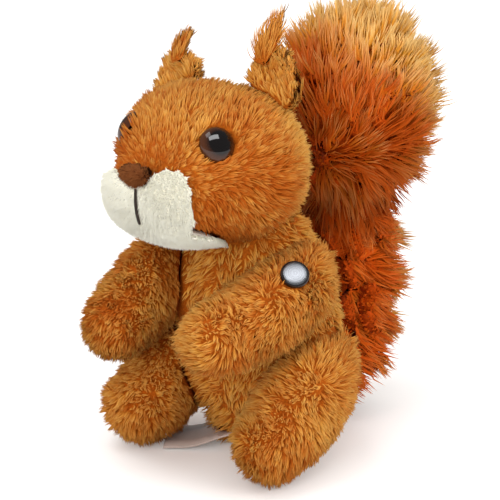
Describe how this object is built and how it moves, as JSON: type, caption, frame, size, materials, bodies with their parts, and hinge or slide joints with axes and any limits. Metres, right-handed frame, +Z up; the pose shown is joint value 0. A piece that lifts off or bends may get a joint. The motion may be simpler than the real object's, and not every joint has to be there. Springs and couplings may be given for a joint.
{
  "type": "plush squirrel",
  "caption": "Sitting plush squirrel with a curled long-pile tail, tufted ears, safety eyes and a white muzzle.",
  "frame": {"origin": "middle of the toy's bounding box in X and Y, on the surface it sits on", "axes": "+Z up, -Y the way the toy faces, +X its own left side"},
  "size_m": [0.0744, 0.1288, 0.1331],
  "materials": {
    "brown_plush": "short soft pile",
    "white_plush": "short dense pile",
    "tail_fur": "long loose pile",
    "nose_cloth": "close brushed cloth",
    "thread": "embroidery thread",
    "eye_plastic": "polished, dark brown over black",
    "washer_plastic": "matt",
    "badge_steel": "dark plated",
    "badge_tin": "brushed",
    "tag_satin": "satin weave"
  },
  "bodies": {
    "root": {"torso": "brown_plush", "head": "brown_plush", "muzzle": "white_plush", "nose": "nose_cloth", "mouth_stitch": "thread", "ear_left": "brown_plush", "ear_right": "brown_plush", "ear_tuft_left": "tail_fur", "ear_tuft_right": "tail_fur", "eye_left": "eye_plastic", "eye_right": "eye_plastic", "eye_washer_left": "washer_plastic", "eye_washer_right": "washer_plastic", "arm_left": "brown_plush", "arm_right": "brown_plush", "leg_left": "brown_plush", "leg_right": "brown_plush", "tail": "tail_fur", "badge_case": "badge_steel", "badge_face": "badge_tin", "badge_clasp": "badge_steel", "sewn_tag": "tag_satin"}
  },
  "joints": []
}
